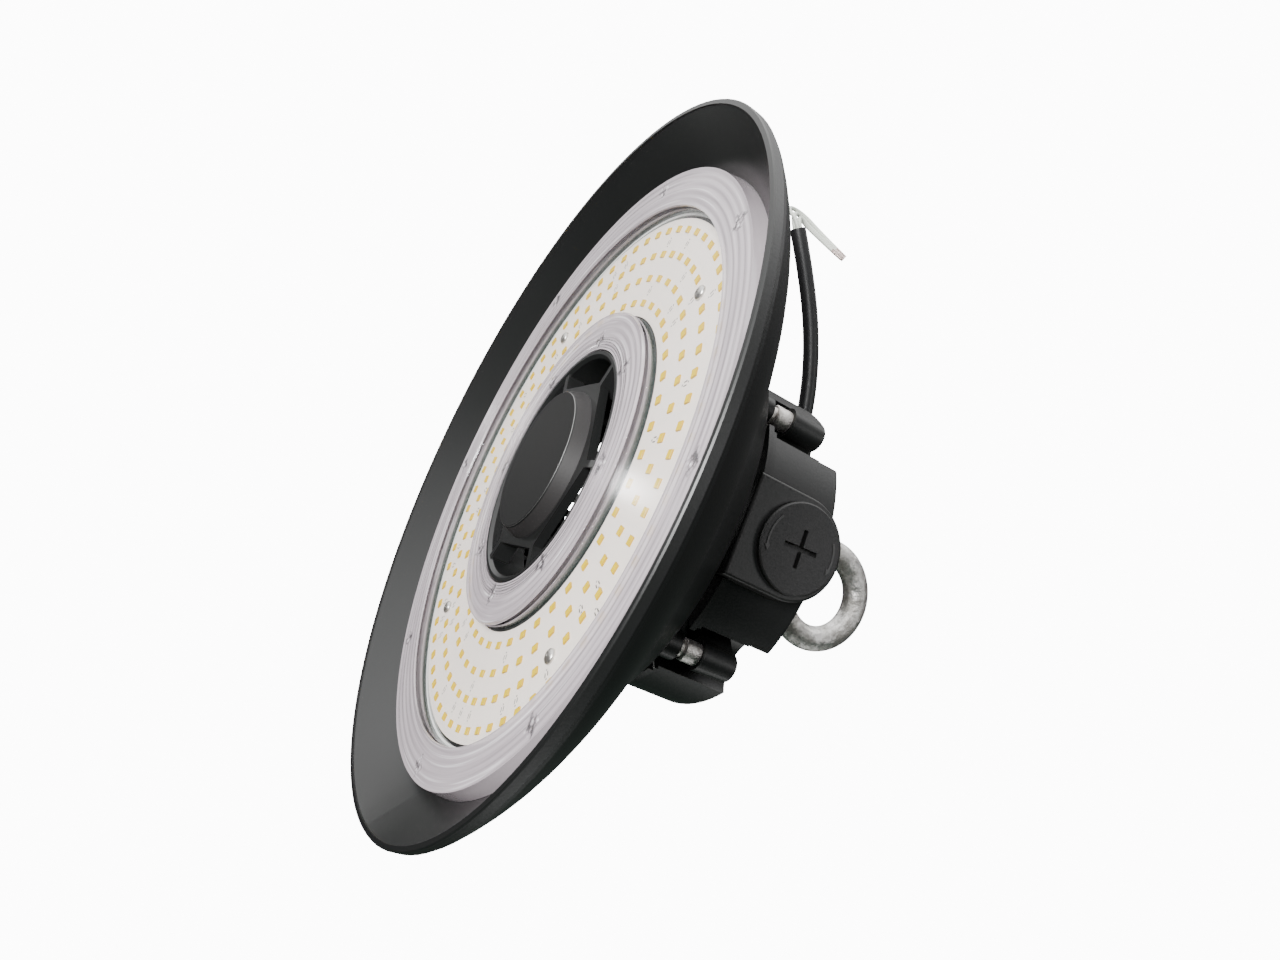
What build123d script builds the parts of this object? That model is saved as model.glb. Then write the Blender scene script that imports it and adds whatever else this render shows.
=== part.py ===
import os
from math import asin, cos, degrees, pi, radians, tan
from build123d import *

# A round high bay light that hangs by a ring bolt: a die-cast shade with the light source in its floor,
# and a driver drum that stands on four posts behind it.
# Everything is in millimetres. Heights are measured up from the plane of the shade's mouth. save() moves
# each finished piece down, so that the row's origin lies in the middle of the hanging eye.

# Fits
SLIP = 0.15              # round a shank in its hole, each side
FIT = 0.25               # between a part and the recess that takes it, each side
GROUND = 0.0             # the plane of the shade's mouth

# Shade and its back
FLANGE_W = 22.8          # from the lens's outer edge to the rim
LIP_W = 2.3              # the flat lip round the mouth
LIP_DROP = 0.8           # the shade starts this far behind the lip
RIM_WALL = 4.0           # height of the upright rim
RIM_TURN = 6.0           # height where the rim has turned into the back
SHOULDER_IN = 22.2       # the rounded back turns into the neck's hollow curve this far inside the rim
SHOULDER_H = 23.5
SHOULDER_BULGE = 1.3
NECK_IN = 72.0           # the back's open upper edge lies this far inside the rim
NECK_H = 56.5
NECK_HOLLOW = 1.4
SHELL = 3.0
FLOOR_H = 18.0           # the face that carries the board and the lens
FLOOR_T = 4.0
FIN_COUNT = 24
FIN_T = 2.0
FIN_PAST = 7.3           # the fins begin this far outside the inlet's rim
FIN_DROP = 6.0           # the fins end this far below the neck's edge

# Air inlet in the middle
VENT_R = 49.4
VENT_RIM_W = 3.3
VENT_RIM_H = 10.7        # front edge of the inlet's rim
VENT_CHAMFER = 1.4
DUCT_UP = 6.0            # the inlet's rim stands this far above the floor's back
HEX_APOTHEM = 36.2
HEX_H = 11.3             # front face of the six-sided plate
HEX_T = 4.0
SPOKE_W = 3.0
SPOKE_DEPTH = 8.0
SPOKES = 6

# Cap over the middle
CAP_R = 31.0
CAP_BASE_R = 33.2
CAP_H = 5.1              # front face
CAP_WALL = 2.2
CAP_CHAMFER = 0.7
CAP_BOSS_R = 4.5
CAP_SCREW_R = 2.0
CAP_SCREW_HEAD_R = 4.0
CAP_SCREW_HEAD_T = 2.6

# Lens ring
LENS_GAP = 0.3           # between the inlet's rim and the lens
LENS_IN_W = 17.0         # the ridged border inside the window
LENS_OUT_W = 16.8        # the ridged border outside it
LENS_SPREAD = 0.9        # the lens's foot is this much wider than its front
LENS_H = 10.6            # its foremost ridge
LENS_STEP = 0.8          # depth of one ridge
LENS_WALL = 2.5
WINDOW_T = 2.0
WINDOW_DROP = 1.0        # the flat window lies this far behind the ridges
LENS_POST_COUNT = 8
LENS_POST_R = 2.6
LENS_POST_FROM_OUT = 6.7  # the posts stand this far inside the lens's outer edge
LENS_POST_FROM_IN = 4.6   # and this far outside its inner edge

# Board and chips
BOARD_W = 45.3
BOARD_GAP_IN = 1.5       # between the window's inner edge and the board
BOARD_GAP_OUT = 2.7      # between the board and the window's outer edge
BOARD_T = 1.5
CHIP_L = 3.5
CHIP_W = 2.8
CHIP_T = 0.7
CHIP_RINGS = ((0.1302, 44), (0.3841, 48), (0.6313, 60), (0.8852, 64))  # share of the board's width, count
SCREW_RING = 2           # the ring of chips that the board's screws stand in
BOARD_SCREWS = 4
M3_R = 1.5
M3_HEAD_R = 3.0
M3_HEAD_T = 2.0
BOARD_SCREW_L = 5.0

# Gaskets under the lens
GASKET_T = 1.2
GASKET_LIP = 1.1         # what shows between the lens's wall and the board

# Driver drum
DRUM_R = 71.5
DRUM_WALL = 3.0
DRUM_TOP_T = 3.5
DRUM_ROUND = 2.2
BASE_H = 67.5            # underside of the drum's base plate
BASE_T = 2.5
BASE_PAST = 3.5          # the base plate's edge stands this far out of the drum
BASE_RIM_W = 2.0
BASE_RIM_UP = 2.4
DRUM_UP = 38.8           # from the base plate's underside to the drum's top
SEAL_T = 0.8
SEAL_PAST = 1.7          # the seal and the drum's foot flange stand this far out
FOOT_T = 1.8             # the foot flange's thickness

# Posts, columns and the four long screws
POST_IN = 0.9            # the posts stand this far inside the drum's outer radius
POST_R = 6.0
POST_PAST = 3.5          # their tops lie this far above the base plate's underside
LONG_SCREWS = 4
POCKET_R = 14.0
COLUMN_R = 6.4           # at its foot
COLUMN_TOP_R = 5.8
COLUMN_DOWN = 9.3        # the column ends this far below the drum's top
WEB_DOWN = 1.1           # and its web this far below the column's top
SHOULDER_STEP = 0.5      # the pocket is this much wider round the column's top
SLEEVE_R = 4.7
SLEEVE_L = 7.1
SLEEVE_FOOT = 2.6        # the narrow foot under the sleeve
M5_R = 2.5
M5_HEAD_R = 4.25
M5_HEAD_T = 5.0
M5_SINK = 0.4            # the head lies this far below the column's top
M5_KEY_AF = 4.0
M5_GRIP = 12.0           # thread in the post

# Screws that hold the base plate
BASE_SCREWS = 6
BASE_SCREW_IN = 10.0     # the screws stand this far inside the drum's outer radius
BASE_SCREW_L = 9.0
BASE_BOSS_R = 4.2

# Sensor port on the drum's side
PORT_PAST = 6.7          # the flat face stands this far out of the drum
PORT_ROOT = 8.0          # the boss reaches this far into the drum's wall
PORT_HALF = 20.4
PORT_DOWN = 4.1          # its square lower edge lies this far below the base plate's underside
PORT_UP = 21.3           # the plug's middle above the base plate's underside
PORT_ROUND = 1.2
PORT_BORE_R = 14.0
PLUG_R = 17.8
PLUG_T = 1.8
PLUG_FLOOR = 3.0         # solid part of the stem behind the head
PLUG_STEM_L = 12.0
PLUG_STEM_BORE_R = 11.0
SLOT_L = 15.0
SLOT_W = 1.9
SLOT_DEPTH = 2.4
PORT_SEAL_T = 0.7
PORT_SEAL_W = 2.0

# Dome on top of the drum
DOME_R = 36.0
DOME_TOP_R = 31.0
DOME_UP = 24.0           # the dome's flat top above the drum's top
DOME_WALL = 4.0
DOME_TOP_T = 5.0
DOME_ROUND = 2.5
RIB_COUNT = 8
RIB_T = 3.0
RIB_UP = 6.0
RIB_IN = 9.5             # the ribs end this far inside the drum's outer radius

# Ring bolt
EYE_UP = 28.0            # the middle of the eye above the dome's flat top
EYE_IN_R = 15.0
EYE_BAR_R = 6.0
COLLAR_R = 15.0
COLLAR_T = 6.0
COLLAR_NECK_R = 9.0
M12_R = 6.0
EYE_SEAL_T = 2.0
EYE_SEAL_R = 17.5
EYE_WASHER_R = 12.0
EYE_WASHER_T = 2.5
EYE_NUT_AF = 18.0
EYE_NUT_T = 10.8
EYE_STUB = 2.0           # thread past the nut

# Cable gland, on the -X side of the dome
GLAND_UP = 11.7          # its axis above the drum's top
GLAND_FACE = 34.0        # distance of its flat pad from the axis
GLAND_PAD_R = 10.8
GLAND_SPOT = 0.6         # the pad's spot-face reaches this far past the hexagon's corners
GLAND_THREAD_R = 8.0
GLAND_HEX_AF = 20.0
GLAND_HEX_T = 5.0
GLAND_NUT_R = 9.6
GLAND_NUT_T = 14.0
GLAND_SEAL_R = 6.0
GLAND_SEAL_OUT = 0.6

# Heights and radii of the drum that follow
DRUM_TOP_H = BASE_H + DRUM_UP
DOME_TOP_H = DRUM_TOP_H + DOME_UP
EYE_H = DOME_TOP_H + EYE_UP
GLAND_H = DRUM_TOP_H + GLAND_UP
BASE_R = DRUM_R + BASE_PAST
SEAL_R = DRUM_R + SEAL_PAST
POST_PCD_R = DRUM_R - POST_IN
POST_TOP_H = BASE_H + POST_PAST
SLEEVE_FROM = POST_TOP_H + SLEEVE_FOOT
SLEEVE_TO = SLEEVE_FROM + SLEEVE_L
COLUMN_TOP_H = DRUM_TOP_H - COLUMN_DOWN
SCREW_SEAT_H = COLUMN_TOP_H - M5_SINK - M5_HEAD_T
WEB_TOP_H = COLUMN_TOP_H - WEB_DOWN
BASE_SCREW_PCD_R = DRUM_R - BASE_SCREW_IN
PORT_FACE = DRUM_R + PORT_PAST
PORT_LOW_H = BASE_H - PORT_DOWN
PORT_H = BASE_H + PORT_UP
RIB_OUT_R = DRUM_R - RIB_IN

# Cord: its route is chosen by hand from the photograph, in x, y and height
CORD_R = 3.75
CORD_END = (-150.1, 0.0, 77.5)
CORD_POINTS = ((-69.0, 0.0, GLAND_H), (-98.0, 0.0, 109.8), (-128.0, 0.0, 94.2))
WIRE_R = 1.0
WIRES = {                # place in the cord's end, first run along the cord, and the points of the route
    "wire_live": ((0.75, -1.25), 5.5,
                  ((-156.4, 2.2, 70.9), (-161.6, 7.6, 73.3), (-162.8, 9.4, 82.4), (-158.1, 7.2, 94.1),
                   (-152.0, 2.1, 107.4))),
    "wire_neutral": ((0.75, 1.25), 4.8,
                     ((-158.9, 5.4, 75.7), (-160.8, 7.9, 79.1), (-158.3, 7.7, 86.2), (-154.7, 4.6, 94.9),
                      (-149.6, 0.2, 105.8))),
    "wire_earth": ((-1.45, 0.0), 2.7,
                   ((-155.8, 1.3, 76.8), (-157.2, 3.9, 79.3), (-156.1, 4.8, 84.5), (-154.0, 3.3, 90.5),
                    (-151.1, 0.6, 97.2), (-148.4, -2.2, 103.2))),
}
FILLET_SHARE = 0.45      # of the shorter run, taken by each arc of a cord

# Lead from the driver to the board
LEAD_R = 2.4
LEAD_IN = 19.5           # it comes through the base plate this far inside the drum's radius
LEAD_PAST = 4.5          # it comes through the floor this far outside the board's inner edge
LEAD_DOWN = 11.5         # its upper bend below the base plate's underside
LEAD_UP = 16.0           # its lower bend above the floor's back, between two fins
GROMMET_R = 4.4
GROMMET_LIP_R = 5.8
GROMMET_LIP = 1.2

# Driver inside the drum
PCB_IN = 15.5            # the board's edge lies this far inside the drum's outer radius
PCB_T = 1.6
PCB_POST_R = 3.5
PCB_POST_UP = 4.0
PCB_POST_IN = 6.0        # its posts stand this far inside its edge
PCB_POST_COUNT = 4
PCB_POST_TURN = 30.0     # degrees from +X to the first of them
HEAD_ROOM = 5.2          # air between the tallest parts and the drum's top
CORE_SIZE = (30.0, 26.0)
CORE_AT = (-18.0, 6.0)
CORE_LIMB = 0.225        # width of the core's outer limb as a share of its length
COIL_PAST = 2.5          # the winding stands this far out of the core at either side
CAN_R = 8.0
CAN_AT = ((20.0, -8.0), (20.0, -27.0))
CHOKE_R = 10.0
CHOKE_HOLE_R = 4.5
CHOKE_T = 9.0
CHOKE_AT = (14.0, 18.0)
BLOCK_SIZE = (22.0, 12.0, 10.0)
BLOCK_AT = (-24.0, -24.0)
WIRE_WAY_R = 2.0         # the terminal block's wire entries
WIRE_WAY_PITCH = 7.0
WIRE_WAY_DEPTH = 5.0
PORT_CLEAR = 24.0        # the board's edge is cut straight this far from the port's face

# Radii of the shade that follow, from the inlet outwards
VENT_OUT_R = VENT_R + VENT_RIM_W
LENS_IN_R = VENT_OUT_R + LENS_GAP
WINDOW_IN_R = LENS_IN_R + LENS_IN_W
BOARD_IN_R = WINDOW_IN_R + BOARD_GAP_IN
BOARD_OUT_R = BOARD_IN_R + BOARD_W
WINDOW_OUT_R = BOARD_OUT_R + BOARD_GAP_OUT
LENS_TOP_R = WINDOW_OUT_R + LENS_OUT_W
LENS_OUT_R = LENS_TOP_R + LENS_SPREAD
SEAT_R = LENS_OUT_R + FIT
RIM_R = LENS_OUT_R + FLANGE_W
SHOULDER_R = RIM_R - SHOULDER_IN
NECK_R = RIM_R - NECK_IN
FIN_IN_R = VENT_OUT_R + FIN_PAST
BOARD_SCREW_R = BOARD_IN_R + BOARD_W * CHIP_RINGS[SCREW_RING][0]
LENS_FOOT_OUT_R = WINDOW_OUT_R + LENS_WALL
LENS_FOOT_IN_R = WINDOW_IN_R - LENS_WALL
LEAD_BOARD_Y = BOARD_IN_R + LEAD_PAST

# Heights and radii that follow
FLOOR_BACK_H = FLOOR_H + FLOOR_T
BOARD_FACE_H = FLOOR_H - BOARD_T
WINDOW_FACE_H = LENS_H + WINDOW_DROP
GASKET_FACE_H = FLOOR_H - GASKET_T
COVER_FOOT_H = BASE_H + BASE_T + SEAL_T
COLLAR_H = DOME_TOP_H + EYE_SEAL_T
DRUM_CEILING_H = DRUM_TOP_H - DRUM_TOP_T
DOME_CEILING_H = DOME_TOP_H - DOME_TOP_T
PCB_H = BASE_H + BASE_T + PCB_POST_UP
PCB_TOP_H = PCB_H + PCB_T
PCB_R = DRUM_R - PCB_IN
TALL_H = DRUM_CEILING_H - PCB_TOP_H - HEAD_ROOM
LEAD_Y = DRUM_R - LEAD_IN


def save(name, shape):
    moved = Pos(0, 0, -EYE_H) * shape
    moved.label = name
    export_step(moved, "parts/" + name + ".step")
    volume = sum(solid.volume for solid in moved.solids())
    print(f"{name:22s} solids {len(moved.solids()):3d}  volume {volume / 1000:9.3f} cm3")


def disc(radius, low, high):
    return Pos(0, 0, low) * extrude(Circle(radius), high - low)


def ring(outer, inner, low, high):
    return Pos(0, 0, low) * extrude(Circle(outer) - Circle(inner), high - low)


def around(radius, count, first=0.0):
    return [Rot(0, 0, first + 360 / count * i) * Pos(radius, 0, 0) for i in range(count)]


def spun(outline):
    return revolve(make_face(Plane.XZ * outline), Axis.Z)


def polygon(points):
    return Polyline(*points, close=True)


def hexagon(across_flats, height, turn=0.0):
    return extrude(RegularPolygon(across_flats / 2, 6, major_radius=False, rotation=turn), height)


def screw(shank_r, length, head_r, head_t, hex_af=0.0):
    # A screw with its head's seat at the origin, the shank along +Z and the head below.
    body = disc(shank_r, 0, length) + disc(head_r, -head_t, 0)
    body = chamfer(body.edges().group_by(Axis.Z)[0], min(0.4, head_t / 3))
    if hex_af:
        body -= Pos(0, 0, -head_t) * hexagon(hex_af, head_t * 0.55)
    return body


def back_curve():
    # The back of the shade from the rim to the neck: a rounded shoulder and then a hollow curve.
    rim = Vector(RIM_R - 1.4, RIM_TURN)
    shoulder = Vector(SHOULDER_R, SHOULDER_H)
    neck = Vector(NECK_R, NECK_H)
    first = ThreePointArc(rim, bowed(rim, shoulder, SHOULDER_BULGE), shoulder)
    second = ThreePointArc(shoulder, bowed(shoulder, neck, -NECK_HOLLOW), neck)
    return first, second


def bowed(start, end, sagitta):
    # The middle of an arc between two points that stands off its chord, outwards where positive.
    along = (end - start).normalized()
    return (start + end) * 0.5 + Vector(-along.Y, along.X) * -sagitta


def inner_curve():
    # The inside of the neck's shell, from the floor to the open edge.
    shoulder = Vector(SHOULDER_R, SHOULDER_H)
    neck = Vector(NECK_R, NECK_H)
    along = (neck - shoulder).normalized()
    inward = Vector(-along.Y, along.X) * SHELL
    low = shoulder + inward + along * ((FLOOR_BACK_H - shoulder.Y - inward.Y) / along.Y)
    high = neck + inward + along * (-inward.Y / along.Y)
    return low, Polyline(low, bowed(low, high, -NECK_HOLLOW), high), high


def shell_outline():
    # The section of the shade: lip, upright rim, back, open neck, hollow, floor, seat and front cone.
    first, second = back_curve()
    low, inside, high = inner_curve()
    rim = Polyline((SEAT_R, FLOOR_H), (RIM_R - LIP_W, LIP_DROP), (RIM_R - LIP_W, GROUND),
                   (RIM_R - 0.4, GROUND), (RIM_R, 0.6), (RIM_R - 0.2, RIM_WALL), (RIM_R - 1.4, RIM_TURN))
    edge = Line((NECK_R, NECK_H), high)
    floor = Polyline((low.X, low.Y), (VENT_OUT_R, FLOOR_BACK_H), (VENT_OUT_R, FLOOR_H), (SEAT_R, FLOOR_H))
    return Curve() + [rim, first, second, edge, inside, floor]


def inlet_rim():
    top = FLOOR_BACK_H + DUCT_UP
    return spun(polygon([(VENT_R + VENT_CHAMFER, VENT_RIM_H), (VENT_OUT_R - 0.5, VENT_RIM_H),
                         (VENT_OUT_R, VENT_RIM_H + 0.5), (VENT_OUT_R, top), (VENT_R, top),
                         (VENT_R, VENT_RIM_H + VENT_CHAMFER)]))


def inlet_spider():
    # Six spokes carry a six-sided plate in the middle of the inlet, flat side towards each opening.
    plate = Pos(0, 0, HEX_H) * hexagon(2 * HEX_APOTHEM, HEX_T, 30)
    spoke_in = HEX_APOTHEM / cos(pi / SPOKES) - 4
    reach = VENT_R + VENT_RIM_W / 2 - spoke_in
    spoke = Pos(spoke_in + reach / 2, 0, HEX_H + SPOKE_DEPTH / 2) * Box(reach, SPOKE_W, SPOKE_DEPTH)
    for i in range(SPOKES):
        plate += Rot(0, 0, 360 / SPOKES * (i + 0.5)) * spoke
    return plate - Pos(0, 0, HEX_H) * extrude(Circle(CAP_SCREW_R + SLIP), HEX_T)


def fins():
    # Radial cooling fins between the floor and the shell, clear of the posts.
    low, inside, high = inner_curve()
    top = NECK_H - FIN_DROP
    outline = Curve() + [Polyline((low.X, low.Y), (FIN_IN_R, FLOOR_BACK_H), (FIN_IN_R, top), (high.X, top)),
                         Line((high.X, top), (high.X, high.Y)), inside]
    one = extrude(make_face(Plane.XZ * outline), FIN_T / 2, both=True)
    half = 180 / FIN_COUNT
    return [Rot(0, 0, half + 360 / FIN_COUNT * i) * one for i in range(FIN_COUNT)]


def make_housing():
    body = spun(shell_outline())
    body += inlet_rim()
    body += inlet_spider()
    body += fins()
    post = disc(POST_R, FLOOR_BACK_H, POST_TOP_H)
    post = chamfer(post.edges().group_by(Axis.Z)[-1], 0.6)
    body += [place * post for place in around(POST_PCD_R, LONG_SCREWS, 45)]
    bore = disc(M5_R + SLIP, POST_TOP_H - M5_GRIP - 2, POST_TOP_H)
    body -= [place * bore for place in around(POST_PCD_R, LONG_SCREWS, 45)]
    tap = disc(M3_R + SLIP, FLOOR_H, FLOOR_BACK_H)
    body -= [place * tap for place in around(BOARD_SCREW_R, BOARD_SCREWS, 45)]
    return body - Pos(0, LEAD_BOARD_Y, 0) * disc(GROMMET_R, FLOOR_H, FLOOR_BACK_H)


def make_lens():
    front = LENS_H
    back = front + LENS_STEP
    ridge = (WINDOW_IN_R - LENS_IN_R) / 5
    inner = []
    for i in range(5):
        height = front if i % 2 == 0 else back
        inner += [(LENS_IN_R + ridge * i, height), (LENS_IN_R + ridge * (i + 1), height)]
    outer = []
    wave = (LENS_TOP_R - WINDOW_OUT_R) / 5
    for i in range(5):
        height = front if i % 2 == 0 else back
        outer += [(WINDOW_OUT_R + wave * i, height), (WINDOW_OUT_R + wave * (i + 1), height)]
    roof = back + WINDOW_T
    window = WINDOW_FACE_H + WINDOW_T
    under = [(LENS_OUT_R, FLOOR_H), (LENS_OUT_R - LENS_WALL, FLOOR_H), (LENS_TOP_R - LENS_WALL, roof),
             (LENS_FOOT_OUT_R, roof), (LENS_FOOT_OUT_R, GASKET_FACE_H), (WINDOW_OUT_R, GASKET_FACE_H),
             (WINDOW_OUT_R, window), (WINDOW_IN_R, window), (WINDOW_IN_R, GASKET_FACE_H),
             (LENS_FOOT_IN_R, GASKET_FACE_H), (LENS_FOOT_IN_R, roof), (LENS_IN_R + LENS_WALL, roof),
             (LENS_IN_R + LENS_WALL, FLOOR_H), (LENS_IN_R, FLOOR_H)]
    face = [(WINDOW_IN_R, WINDOW_FACE_H), (WINDOW_OUT_R, WINDOW_FACE_H)]
    body = spun(polygon(inner + face + outer + under))
    post = disc(LENS_POST_R, back + WINDOW_T / 2, FLOOR_H)
    body += [place * post for place in around(LENS_OUT_R - LENS_POST_FROM_OUT, LENS_POST_COUNT)]
    body += [place * post for place in around(LENS_IN_R + LENS_POST_FROM_IN, LENS_POST_COUNT)]
    return body


def make_gasket(outwards):
    if outwards:
        return ring(LENS_FOOT_OUT_R + GASKET_LIP, WINDOW_OUT_R - GASKET_LIP, GASKET_FACE_H, FLOOR_H)
    return ring(WINDOW_IN_R + GASKET_LIP, LENS_FOOT_IN_R - GASKET_LIP, GASKET_FACE_H, FLOOR_H)


def make_board():
    body = ring(BOARD_OUT_R, BOARD_IN_R, BOARD_FACE_H, FLOOR_H)
    hole = disc(M3_R + SLIP, BOARD_FACE_H, FLOOR_H)
    return body - [place * hole for place in around(BOARD_SCREW_R, BOARD_SCREWS, 45)]


def chip_places(radius, count):
    # One place lies at 45 degrees. A place that a board screw takes is left out.
    screws = [45 + 360 / BOARD_SCREWS * i for i in range(BOARD_SCREWS)]
    room = degrees(asin((M3_HEAD_R + CHIP_L) / radius))
    places = []
    for i in range(count):
        angle = 45 + 360 / count * i
        taken = abs(radius - BOARD_SCREW_R) < M3_HEAD_R and any(
            abs((angle - s + 180) % 360 - 180) < room / 2 for s in screws)
        if not taken:
            places.append(Rot(0, 0, angle) * Pos(radius, 0, BOARD_FACE_H - CHIP_T / 2))
    return places


def make_chips(radius, count):
    return Compound([place * Box(CHIP_W, CHIP_L, CHIP_T) for place in chip_places(radius, count)])


def make_board_screws():
    one = Pos(0, 0, BOARD_FACE_H) * screw(M3_R, BOARD_SCREW_L, M3_HEAD_R, M3_HEAD_T)
    return Compound([place * one for place in around(BOARD_SCREW_R, BOARD_SCREWS, 45)])


def make_cap():
    outside = polygon([(0, CAP_H), (CAP_R - CAP_CHAMFER, CAP_H), (CAP_R, CAP_H + CAP_CHAMFER),
                       (CAP_BASE_R, HEX_H), (CAP_BASE_R - CAP_WALL, HEX_H),
                       (CAP_R - CAP_WALL, CAP_H + CAP_WALL), (0, CAP_H + CAP_WALL)])
    body = spun(outside)
    body += disc(CAP_BOSS_R, CAP_H + CAP_WALL, HEX_H)
    return body - disc(CAP_SCREW_R + SLIP, CAP_H + CAP_WALL / 2, HEX_H)


def make_cap_screw():
    length = HEX_H + HEX_T - (CAP_H + CAP_WALL)
    return Pos(0, 0, HEX_H + HEX_T) * Rot(180, 0, 0) * screw(CAP_SCREW_R, length, CAP_SCREW_HEAD_R,
                                                            CAP_SCREW_HEAD_T)


def pocket_cut(radius, low, high):
    return [place * disc(radius, low, high) for place in around(POST_PCD_R, LONG_SCREWS, 45)]


def make_base():
    body = disc(BASE_R, BASE_H, BASE_H + BASE_T)
    rim_out = DRUM_R - DRUM_WALL - FIT
    body += ring(rim_out, rim_out - BASE_RIM_W, BASE_H + BASE_T, BASE_H + BASE_T + BASE_RIM_UP)
    body -= pocket_cut(POCKET_R + DRUM_WALL + FIT, BASE_H + BASE_T, BASE_H + BASE_T + BASE_RIM_UP)
    body -= pocket_cut(POCKET_R, BASE_H, BASE_H + BASE_T)
    post = disc(PCB_POST_R, BASE_H + BASE_T, PCB_H)
    body += [place * post for place in around(PCB_R - PCB_POST_IN, PCB_POST_COUNT, PCB_POST_TURN)]
    hole = disc(M3_R + SLIP, BASE_H, BASE_H + BASE_T + BASE_RIM_UP)
    body -= [place * hole for place in around(BASE_SCREW_PCD_R, BASE_SCREWS)]
    body -= Pos(0, LEAD_Y, 0) * disc(GROMMET_R, BASE_H, BASE_H + BASE_T)
    return body - port_gap()


def port_gap():
    # Room for the port's boss, which comes down past the base plate's edge.
    low = PORT_LOW_H - 1
    height = DRUM_TOP_H - low
    block = Pos(0, -BASE_R / 2, low + height / 2) * Box(2 * (PORT_HALF + FIT), BASE_R, height)
    return block - disc(DRUM_R - DRUM_WALL - FIT, low, DRUM_TOP_H)


def drum_plan(radius):
    # The drum's outline at one wall: a circle with a round pocket at each long screw.
    plan = Circle(radius)
    reach = POCKET_R + DRUM_R - radius
    for i in range(LONG_SCREWS):
        plan -= Rot(0, 0, 45 + 360 / LONG_SCREWS * i) * Pos(POST_PCD_R, 0) * Circle(reach)
    return plan


def make_seal():
    plan = drum_plan(DRUM_R)
    outer = plan + (Circle(SEAL_R) - pocket_disc(POCKET_R))
    inner = drum_plan(DRUM_R - DRUM_WALL)
    return Pos(0, 0, BASE_H + BASE_T) * extrude(outer - inner, SEAL_T) - port_gap()


def pocket_disc(radius):
    first = Pos(POST_PCD_R, 0) * Circle(radius)
    return Sketch() + [Rot(0, 0, 45 + 360 / LONG_SCREWS * i) * first for i in range(LONG_SCREWS)]


def drum_shell():
    outer = Pos(0, 0, COVER_FOOT_H) * extrude(drum_plan(DRUM_R), DRUM_TOP_H - COVER_FOOT_H)
    outer = fillet(outer.edges().group_by(Axis.Z)[-1], DRUM_ROUND)
    foot = (Circle(SEAL_R) - pocket_disc(POCKET_R)) + drum_plan(DRUM_R)
    outer += Pos(0, 0, COVER_FOOT_H) * extrude(foot, FOOT_T)
    return outer - pocket_cut(POCKET_R + SHOULDER_STEP, WEB_TOP_H, DRUM_TOP_H)


def lug():
    # A tapered column for one long screw, tied to the pocket's wall by a web.
    column = spun(polygon([(0, SLEEVE_TO), (COLUMN_R, SLEEVE_TO), (COLUMN_TOP_R, COLUMN_TOP_H),
                           (0, COLUMN_TOP_H)]))
    column = chamfer(column.edges().group_by(Axis.Z)[-1], 0.4)
    web_l = POCKET_R + DRUM_WALL / 2
    web = Pos(-web_l / 2, 0, (SLEEVE_TO + WEB_TOP_H) / 2) * Box(web_l, COLUMN_TOP_R * 1.5,
                                                              WEB_TOP_H - SLEEVE_TO)
    return column + web


def port_boss():
    # A flat face with square corners below and a round top that follows the plug.
    plan = Pos(0, PORT_H) * Circle(PORT_HALF)
    plan += Pos(0, (PORT_LOW_H + PORT_H) / 2) * Rectangle(2 * PORT_HALF, PORT_H - PORT_LOW_H)
    body = Plane.XZ.offset(PORT_FACE) * extrude(plan, -PORT_PAST - DRUM_WALL - PORT_ROOT)
    return fillet(body.faces().sort_by(Axis.Y)[0].edges(), PORT_ROUND)


def dome_shell():
    return fillet(spun(polygon([(0, DRUM_CEILING_H), (DOME_R, DRUM_CEILING_H), (DOME_R, DRUM_TOP_H),
                                (DOME_TOP_R, DOME_TOP_H), (0, DOME_TOP_H)]))
                  .edges().group_by(Axis.Z)[-1], DOME_ROUND)


def dome_hollow():
    return spun(polygon([(0, DRUM_CEILING_H), (DOME_R - DOME_WALL, DRUM_CEILING_H),
                         (DOME_R - DOME_WALL, DRUM_TOP_H), (DOME_TOP_R - DOME_WALL, DOME_CEILING_H),
                         (0, DOME_CEILING_H)]))


def gland_line(radius, near, far):
    return Pos(-near, 0, GLAND_H) * Rot(0, -90, 0) * extrude(Circle(radius), far - near)


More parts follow.
